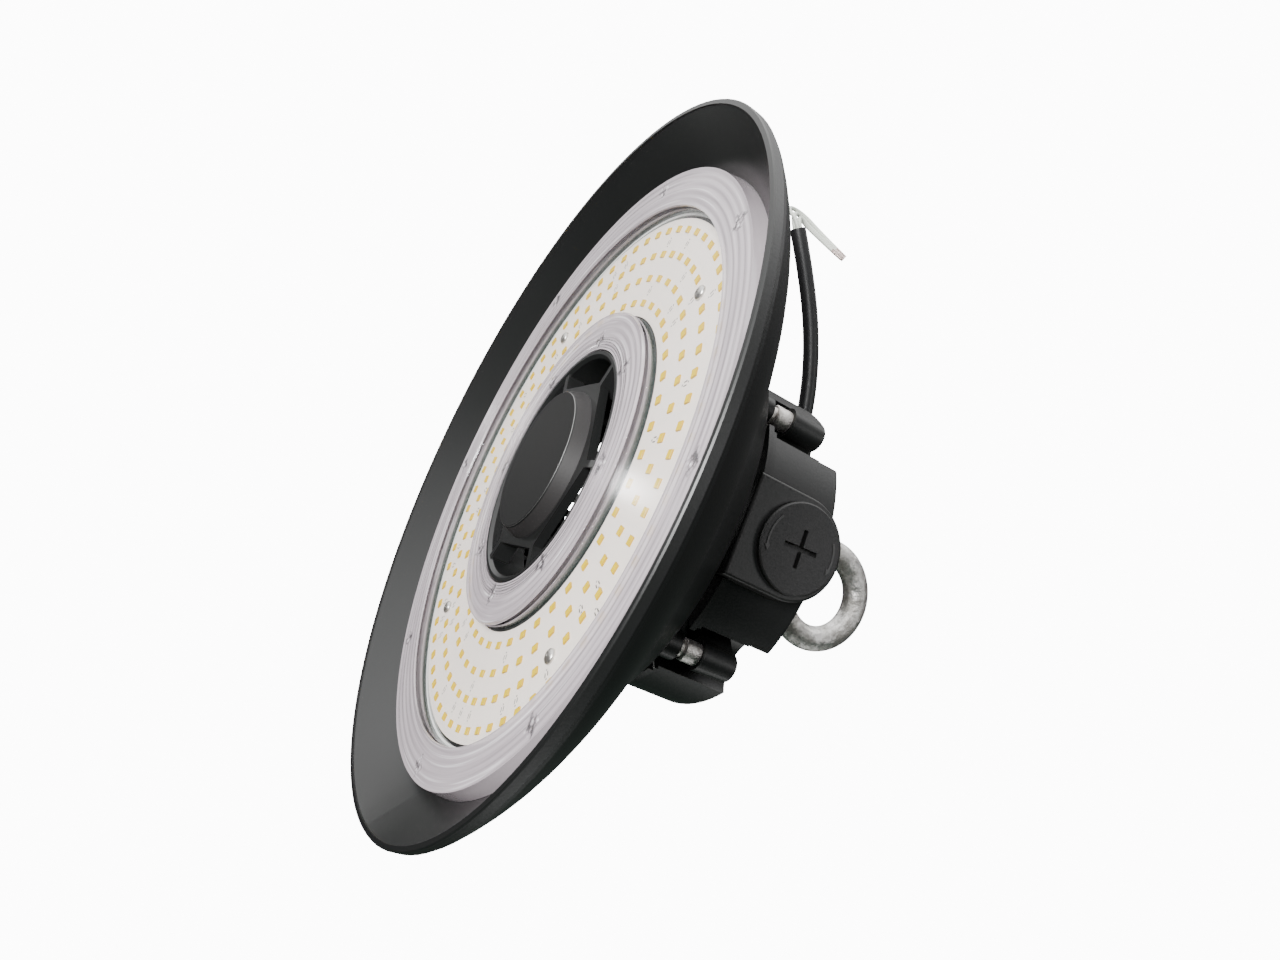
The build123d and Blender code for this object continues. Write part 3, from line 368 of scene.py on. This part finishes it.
def pan_head(name, at, radius, height, shank, turned):
    # A domed head that faces down, its shank above it, and a tapering cross recess.
    section = [(radius, 0.0), (radius, -height * 0.3)]
    section += [(radius * math.cos(b), -height * 0.3 - height * 0.7 * math.sin(b))
                for b in (math.radians(10 * k) for k in range(1, 9))]
    section += [(radius * 0.02, -height), (radius * 0.02, shank), (radius * 0.48, shank), (radius * 0.48, 0.0)]
    head = bpy.data.objects.new(name, turned_ring(name, section, 48))
    bpy.context.scene.collection.objects.link(head)
    cutters = []
    for quarter in (0, 1):
        arm = bmesh.new()
        made = bmesh.ops.create_cube(arm, size=1.0)
        bmesh.ops.scale(arm, verts=made["verts"], vec=(radius * 1.15, radius * 0.26, height * 1.5))
        for vert in arm.verts:
            if vert.co.z > 0:
                vert.co.x *= 0.45
        bmesh.ops.translate(arm, verts=arm.verts, vec=(0, 0, -height * 0.95))
        bmesh.ops.rotate(arm, verts=arm.verts, matrix=Matrix.Rotation(math.pi / 2 * quarter, 3, "Z"))
        mesh = bpy.data.meshes.new("recess")
        arm.to_mesh(mesh)
        arm.free()
        cutter = bpy.data.objects.new("recess", mesh)
        bpy.context.scene.collection.objects.link(cutter)
        cut = head.modifiers.new("recess", "BOOLEAN")
        cut.object = cutter
        cutters.append(cutter)
    bpy.context.view_layer.update()
    finished = bpy.data.meshes.new_from_object(head.evaluated_get(bpy.context.evaluated_depsgraph_get()))
    finished.transform(Matrix.Translation(at) @ Matrix.Rotation(turned, 4, "Z"))
    for helper in (head, *cutters):
        spare = helper.data
        bpy.data.objects.remove(helper)
        bpy.data.meshes.remove(spare)
    return finished


def join_up(name, meshes, finish):
    # One piece of several meshes, riding with the light.
    shape = bmesh.new()
    for mesh in meshes:
        shape.from_mesh(mesh)
        bpy.data.meshes.remove(mesh)
    joined = bpy.data.meshes.new(name)
    bmesh.ops.recalc_face_normals(shape, faces=shape.faces)
    shape.to_mesh(joined)
    shape.free()
    joined.materials.append(finish)
    for face in joined.polygons:
        face.use_smooth = True
    joined.set_sharp_from_angle(angle=math.radians(32))
    piece = bpy.data.objects.new(name, joined)
    bpy.context.scene.collection.objects.link(piece)
    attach(piece, "root")
    return piece


board_face = -0.1418
heads = [pan_head("board_screw", (screw_circle * math.cos(a), screw_circle * math.sin(a), board_face), 0.003, 0.002,
                  0.005, twist)
         for a, twist in ((math.pi / 4, 0.3), (math.pi * 3 / 4, 1.2), (math.pi * 5 / 4, 0.7), (math.pi * 7 / 4, 0.1))]
board_screws = join_up("board_screw_heads", heads, zinc)
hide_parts("board_screws")
dress(zinc, "cap_screw", "base_screws", "long_screws", "eyebolt_washer", "eyebolt_nut")

# Lens: one moulding of clear plastic, seen as milky over the black casting. Its window over the chips is flat,
# both borders have soft round ridges, and small round posts behind them break the light up, shown round the
# posts as painted glints and painted dark sparkles.
low_edge, floor_level = -0.1477, -0.1403


def ridged_lens():
    # The lens's section, turned round the light's axis.
    borders = []
    ridges, ridge_steps, half_ridge = 5, 8, 0.00012
    for start, end in ((0.0530, 0.0700), (0.1195, 0.1363)):
        line = []
        for i in range(ridges * ridge_steps + 1):
            share = i / (ridges * ridge_steps)
            wave = half_ridge - half_ridge * math.cos(math.tau * ridges * share)
            line.append((start + (end - start) * share, low_edge + wave))
        borders.append(line)
    inner, outer = borders
    section = [(0.0530, floor_level)] + inner + [(0.0704, low_edge + 0.001), (0.1191, low_edge + 0.001)] + outer
    section += [(0.1372, floor_level), (0.1347, floor_level), (0.1338, low_edge + 0.0028),
                (0.1220, low_edge + 0.0028), (0.1220, floor_level - 0.0012), (0.1195, floor_level - 0.0012),
                (0.1195, low_edge + 0.003), (0.0700, low_edge + 0.003), (0.0700, floor_level - 0.0012),
                (0.0675, floor_level - 0.0012), (0.0675, low_edge + 0.0028), (0.0555, low_edge + 0.0028),
                (0.0555, floor_level)]
    return section


def post(at, radius, low, high):
    # A round post behind the lens, a little thinner at its seat.
    shape = bmesh.new()
    made = bmesh.ops.create_cone(shape, cap_ends=True, segments=24, radius1=radius, radius2=radius * 0.9,
                                 depth=high - low)
    bmesh.ops.translate(shape, verts=made["verts"], vec=(at[0], at[1], (low + high) / 2))
    mesh = bpy.data.meshes.new("post")
    shape.to_mesh(mesh)
    shape.free()
    return mesh


post_count, outer_posts, inner_posts = 8, 0.1305, 0.0576
milky, place = start_finish("milky_lens_plastic", IOR=1.50, Coat_Weight=0.5, Coat_Roughness=0.11)
from_axis, turn, height = place.from_axis(), place.turn(), place.part("Z")
window = (from_axis > 0.0706) * (from_axis < 0.1192)
# Painted shade: the lens's inner and outer walls are painted dark green-grey, faintly near the front and fully deeper
# in.
walls = (abs(from_axis - 0.1195) < 0.0004) + (abs(from_axis - 0.0700) < 0.0004)
walls = walls * height.spread(0.15, 1.0, low_edge + 0.0036, low_edge + 0.0046)
fine, broad = place.along(0.0011, 1.6), place.along(0.0045, 2.2)
flow = place.speckle(0.012, 3.0)
milk = (fine.spread(0.0, 1.0, 0.3, 0.7) * 0.55 + broad * 0.45).tint((0.31, 0.27, 0.295), (0.52, 0.465, 0.49))
# Painted highlights: bright streaks along the ridges, painted into the colour.
streaks = fine.spread(0.0, 1.0, 0.62, 0.74) * 0.55
rings = abs((from_axis / 0.0012 + broad) % 1.0 - 0.5).spread(1.0, 0.0, 0.12, 0.22)
slits = rings * (from_axis < 0.0588) * broad.spread(0.35, 1.0, 0.35, 0.6)
sector = abs((turn / (math.tau / post_count) + 0.5) % 1.0 - 0.5) * (math.tau / post_count)
from_post = sector.sum_of("MINIMUM", abs(from_axis - outer_posts) + sector * outer_posts,
                          abs(from_axis - inner_posts) + sector * inner_posts)
posts = from_post.spread(1.0, 0.0, 0.0032, 0.0060)
glitter = place.node("TexVoronoi", {"feature": "F1"}, {"Vector": place, "Scale": 420.0}, "Distance")
# Painted light round the posts: dark sparkles and bright glints, painted into the colour.
painted_dark_sparkle = posts * glitter.spread(0.0, 1.0, 0.45, 0.75)
painted_glint = posts * glitter.spread(1.0, 0.0, 0.12, 0.30)
milk_with_painted_highlights = (streaks + painted_glint * 0.9).over(milk, (0.88, 0.88, 0.90, 1.0))
plastic = painted_dark_sparkle.sum_of("MAXIMUM", painted_dark_sparkle, slits * 0.8).over(milk_with_painted_highlights, (0.10, 0.095, 0.10, 1.0))
wall_painted_shade = walls.over(plastic, (0.030, 0.045, 0.038, 1.0))
opaque = 0.88 - slits * 0.55 - painted_dark_sparkle * 0.25 + (broad - 0.5) * 0.2
lay_on(milky, Base_Color=window.over(wall_painted_shade, (0.95, 0.95, 0.96, 1.0)),
       Alpha=(1.0 - window) * opaque + window * (0.06 + (flow - 0.5) * 0.03),
       Metallic=window, Roughness=window.spread(0.20, 0.10) + fine * 0.06,
       Normal=((fine * 0.5 + broad + painted_dark_sparkle * 2.0) * (1.0 - window)).relief(0.00035, 0.6))
lens_parts = [turned_ring("lens", ridged_lens(), 240)]
for i in range(post_count):
    a = math.tau * i / post_count
    for r in (outer_posts, inner_posts):
        lens_parts.append(post((r * math.cos(a), r * math.sin(a)), 0.0026, low_edge + 0.0015, floor_level))
lens = join_up("ridged_lens", lens_parts, milky)
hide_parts("lens")

# Gaskets under the lens: white silicone outside the board and black inside it. The inner one's black is
# also painted shade under the lens's inner wall.
for name, dark, light in (("lens_gasket_outer", (0.70, 0.71, 0.70), (0.82, 0.83, 0.81)),
                          ("lens_gasket_inner", (0.012, 0.014, 0.013), (0.03, 0.034, 0.032))):
    silicone, place = start_finish(name)
    grain = place.speckle(0.0015, 2.0)
    lay_on(silicone, Base_Color=grain.tint(dark, light), Roughness=grain.spread(0.5, 0.7),
           Normal=grain.relief(0.00005, 0.5))
    dress(silicone, name)

# Cap: a pressed and turned aluminium cap over the inlet's middle, anodised black. A thin ring at its front edge
# is painted light grey metal, so a thin bright line shows there. A screw from behind holds it.
anodised, place = start_finish("black_anodised_cap", Specular_IOR_Level=0.3)
from_axis, height = place.from_axis(), place.part("Z")
tool_marks = place.node("TexNoise", {"noise_dimensions": "1D"}, {"W": from_axis, "Scale": 4000.0, "Detail": 2.0},
                        "Fac")
grain = place.speckle(0.0005, 3.0)
line_start, line_end, line_top, face_top = 0.03045, 0.0309, -0.15295, -0.1524
bright = (from_axis > line_start) * (height < line_top) * (from_axis < line_end)
# Painted light: the side is painted several times lighter than the front, as a lit side beside a shaded front.
side = height > face_top
front = place.speckle(0.02, 3.0).tint((0.003, 0.003, 0.003), (0.005, 0.005, 0.0049))
flank_painted_light = place.speckle(0.01, 3.0).tint((0.014, 0.013, 0.013), (0.020, 0.0185, 0.0185))
light_edge_ring = tool_marks.tint((0.25, 0.25, 0.25), (0.50, 0.50, 0.49))
lay_on(anodised, Base_Color=bright.over(side.over(front, flank_painted_light), light_edge_ring), Metallic=bright * 0.9,
       Roughness=bright.spread(0.52, 0.34), Normal=(grain + tool_marks * 0.4).relief(0.00005, 0.4))
dress(anodised, "center_cap")

# Spacers between the posts and the drum: short turned sleeves of bright aluminium, knocked and smeared where the
# coat was masked.
turned, place = start_finish("turned_spacer", Metallic=0.9)
tool_marks = place.node("TexNoise", {"noise_dimensions": "1D"},
                        {"W": place.part("Z"), "Scale": 3500.0, "Detail": 3.0}, "Fac")
nicks = place.speckle(0.0016, 4.0, 0.7)
lay_on(turned, Base_Color=nicks.spread(0.0, 1.0, 0.3, 0.65).tint((0.52, 0.49, 0.46), (0.93, 0.90, 0.87)),
       Roughness=tool_marks.spread(0.30, 0.5), Normal=(tool_marks + nicks * 2.0).relief(0.00018, 0.9))
dress(turned, "spacer_sleeves")

# Rubber seals of the plug, the eye bolt and the gland, and the grommets of the inner lead.
seal, place = start_finish("black_seal")
grain = place.speckle(0.0012, 3.0)
lay_on(seal, Base_Color=grain.tint((0.012, 0.012, 0.012), (0.03, 0.03, 0.03)), Roughness=grain.spread(0.55, 0.75),
       Normal=grain.relief(0.00006, 0.6))
dress(seal, "port_plug_seal", "eyebolt_seal", "gland_seal", "lead_grommets")

# Plug in the drum's side: moulded from black nylon with a spark-eroded grain. It takes a broad cross driver,
# and two raised arrows round its edge show the way it turns.
nylon, place = start_finish("grained_nylon", Specular_IOR_Level=0.45)
pits = place.node("TexVoronoi", {"feature": "F1"}, {"Vector": place, "Scale": 1500.0}, "Distance")
grain = place.speckle(0.0006, 4.0, 0.7)
slot_front = -0.0803
# Painted shade: the sunk cross slot is painted near black.
sunk = place.part("Y") > slot_front
lay_on(nylon, Base_Color=sunk.over(place.speckle(0.01).tint((0.0085, 0.0085, 0.0088), (0.0130, 0.0130, 0.0132)),
                                   (0.003, 0.003, 0.003, 1.0)),
       Roughness=grain.spread(0.42, 0.60), Normal=(pits * 0.7 + grain).relief(0.00014, 0.7))
worn, place = start_finish("worn_nylon", Specular_IOR_Level=0.5)
grain = place.speckle(0.0007, 4.0, 0.7)
lay_on(worn, Base_Color=grain.tint((0.014, 0.014, 0.014), (0.026, 0.026, 0.026)), Roughness=grain.spread(0.35, 0.5),
       Normal=grain.relief(0.0001, 0.6))
dress(nylon, "port_plug")
plug_low, plug_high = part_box("port_plug")
plug_front, plug_middle = plug_low[1], (plug_low[2] + plug_high[2]) / 2


def raised_arrow(first, last, radius, width, high):
    # A curved bar that ends in a point, standing off the plug's face.
    shape = bmesh.new()
    steps = 20
    inside, outside = [], []
    for i in range(steps + 1):
        a = first + (last - first) * i / steps
        inside.append((a, radius - width / 2))
        outside.append((a, radius + width / 2))
    tip = last + math.copysign(0.16, last - first)
    outline = outside + [(last, radius + width * 1.5), (tip, radius), (last, radius - width * 1.5)] + inside[::-1]
    front, behind = [], []
    for a, r in outline:
        x, z = r * math.cos(a), r * math.sin(a)
        front.append(shape.verts.new((x, plug_front - high, plug_middle + z)))
        behind.append(shape.verts.new((x, plug_front + 0.0001, plug_middle + z)))
    shape.faces.new(front)
    for i in range(len(outline)):
        j = (i + 1) % len(outline)
        shape.faces.new((front[i], front[j], behind[j], behind[i]))
    mesh = bpy.data.meshes.new("arrow")
    shape.to_mesh(mesh)
    shape.free()
    return mesh


arrow_circle, arrow_width, arrow_height = 0.0148, 0.0008, 0.0004
arrows = [raised_arrow(math.radians(first), math.radians(last), arrow_circle, arrow_width, arrow_height)
          for first, last in ((235, 284), (120, 80))]
arrow_piece = join_up("plug_arrows", arrows, worn)

# Cable gland on the dome: black nylon, moulded smooth.
gland, place = start_finish("gland_nylon", Specular_IOR_Level=0.5)
grain = place.speckle(0.001, 2.0)
lay_on(gland, Base_Color=grain.tint((0.014, 0.014, 0.015), (0.024, 0.024, 0.025)), Roughness=grain.spread(0.32, 0.45),
       Normal=grain.relief(0.00004, 0.5))
dress(gland, "gland_body", "gland_nut")

# Eye bolt: drop-forged steel, hot-dip galvanised. The zinc is bright with dull patches, small runs and pits.
galvanised, place = start_finish("galvanised_forging", Metallic=0.95)
lumps = place.speckle(0.0035, 3.0, 0.6)
fine = place.speckle(0.0008, 4.0, 0.7)
patches = place.speckle(0.006, 4.0, 0.65).spread(0.0, 1.0, 0.38, 0.62)
lay_on(galvanised, Base_Color=patches.tint((0.40, 0.385, 0.36), (0.90, 0.885, 0.86)),
       Roughness=patches.spread(0.46, 0.28) + fine * 0.10, Normal=(lumps * 3.0 + fine * 0.8).relief(0.0005, 0.9))
dress(galvanised, "eyebolt")

# Inside the drum: the driver's board with its wound core, cans, choke and terminal block, and the sleeved
# lead that goes down to the light board.
inside = {
    "driver_board": ((0.01, 0.10, 0.04), (0.02, 0.16, 0.07), 0.35),
    "transformer": ((0.30, 0.24, 0.05), (0.46, 0.38, 0.10), 0.45),
    "bulk_capacitors": ((0.01, 0.012, 0.03), (0.03, 0.035, 0.07), 0.25),
    "filter_choke": ((0.25, 0.09, 0.03), (0.42, 0.18, 0.07), 0.4),
    "terminal_block": ((0.03, 0.20, 0.07), (0.05, 0.28, 0.10), 0.4),
    "led_lead": ((0.42, 0.42, 0.40), (0.55, 0.55, 0.53), 0.5),
}
for name, (dark, light, dull) in inside.items():
    made, place = start_finish(name + "_finish")
    grain = place.speckle(0.002, 4.0, 0.6)
    lay_on(made, Base_Color=grain.tint(dark, light), Roughness=grain.spread(dull - 0.05, dull + 0.1),
           Normal=grain.relief(0.0001, 0.4))
    dress(made, name)

# Light for the picture: a white studio that is bright towards the picture's top, dim elsewhere and a little green
# below. A broad soft lamp stands above the camera, weak ones high at both sides and at the right, and a small
# one is mirrored in the lens.
sky = bpy.data.worlds.new("studio")
sky.use_nodes = True
backdrop = sky.node_tree.nodes["Background"]
room = Paint(sky.node_tree, None).node("TexCoord", {}, {}, "Generated")
seen = room.node("LightPath", {}, {}, "Is Camera Ray")


def towards(direction):
    # How far a direction in the room leans towards the one given, from -1 to 1.
    return room.node("VectorMath", {"operation": "DOT_PRODUCT"}, {0: room, 1: tuple(direction)}, "Value")


overhead = towards(to_top).spread(0.0, 3.0, 0.33, 0.85)
behind = towards(-to_viewer).spread(0.0, 1.0, 0.7, 1.0)
walls = overhead + behind * 0.12 + 0.04
white = seen.sum_of("MAXIMUM", seen * 12.0, walls)
sky.node_tree.links.new(white.socket, backdrop.inputs["Strength"])
mat = towards(-to_top).spread(0.0, 1.0, 0.2, 0.8)
green = ((1.0 - seen) * mat).over((1.0, 1.0, 1.0, 1.0), (0.35, 1.0, 0.62, 1.0))
sky.node_tree.links.new(green.socket, backdrop.inputs["Color"])
bpy.context.scene.world = sky
middle = Vector((0.0, 0.0, -0.09))
lamps = (("key", middle + to_right * -0.42 + to_top * 0.5 + to_viewer * 1.3, 0.7, 62.0),
         ("above_left", Vector((-1.15, 0.0, 0.75)), 0.8, 3.0),
         ("above_right", Vector((1.15, 0.1, 0.75)), 0.8, 3.5),
         ("side", middle + to_right * 1.1 - to_top * 0.1 + to_viewer * 0.6, 0.5, 2.4),
         ("glow", Vector((0.008, -0.0854, -0.1467)) + Vector((-0.154, 0.915, -0.373)) * 1.6, 0.05, 0.35))
for name, at, size, watts in lamps:
    lamp = bpy.data.lights.new(name, "AREA")
    lamp.shape = "DISK"
    lamp.size = size
    lamp.energy = watts
    holder = bpy.data.objects.new(name, lamp)
    holder.location = at
    holder.rotation_euler = (middle - at).to_track_quat("-Z", "Y").to_euler()
    bpy.context.scene.collection.objects.link(holder)
